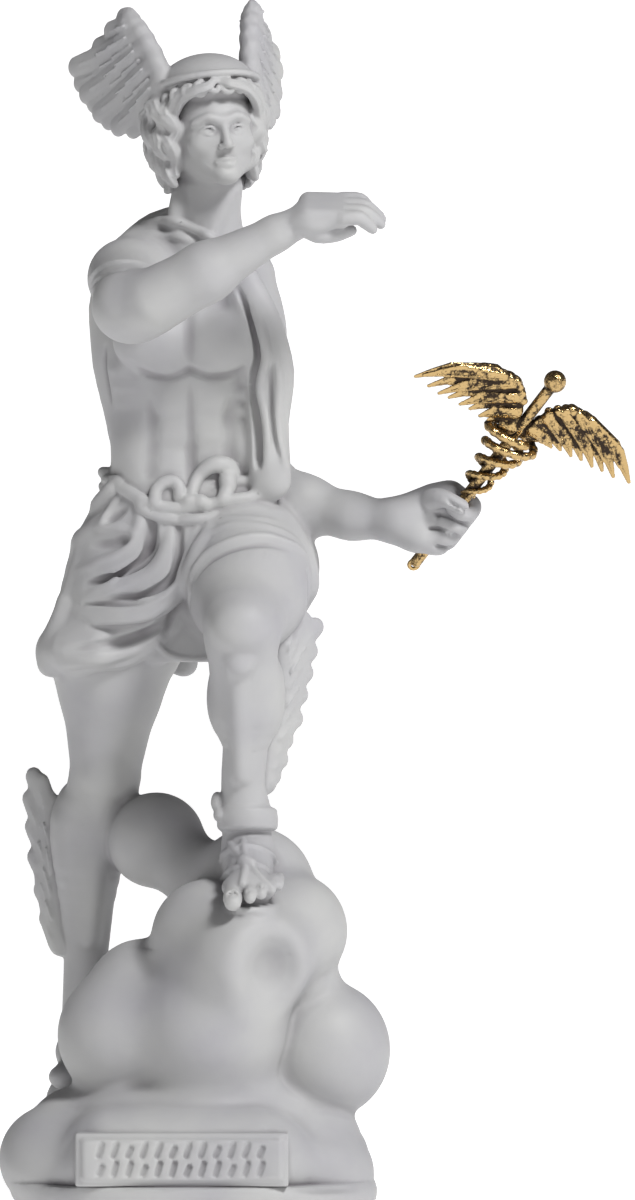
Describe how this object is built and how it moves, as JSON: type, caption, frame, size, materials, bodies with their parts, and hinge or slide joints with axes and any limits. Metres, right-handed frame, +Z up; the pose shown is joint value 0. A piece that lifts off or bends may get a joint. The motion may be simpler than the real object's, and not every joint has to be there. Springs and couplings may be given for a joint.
{
  "type": "alabaster statuette of a winged-cap messenger god",
  "caption": "Cast alabaster statuette of a youthful messenger god in a winged cap, one foot raised on heaped clouds, holding a separate cast metal herald's staff.",
  "frame": {"origin": "middle of the flat underside of the cloud base", "axes": "+Z up, -Y towards the front of the figure (the plate's side), +X towards the hand that holds the staff"},
  "size_m": [0.1587, 0.0896, 0.2996],
  "materials": {
    "alabaster": "matte cast alabaster, cool grey-white",
    "gilt_metal": "antiqued gold, dark in the recesses"
  },
  "bodies": {
    "root": {"alabaster_figure": "alabaster", "winged_staff": "gilt_metal"}
  },
  "joints": []
}
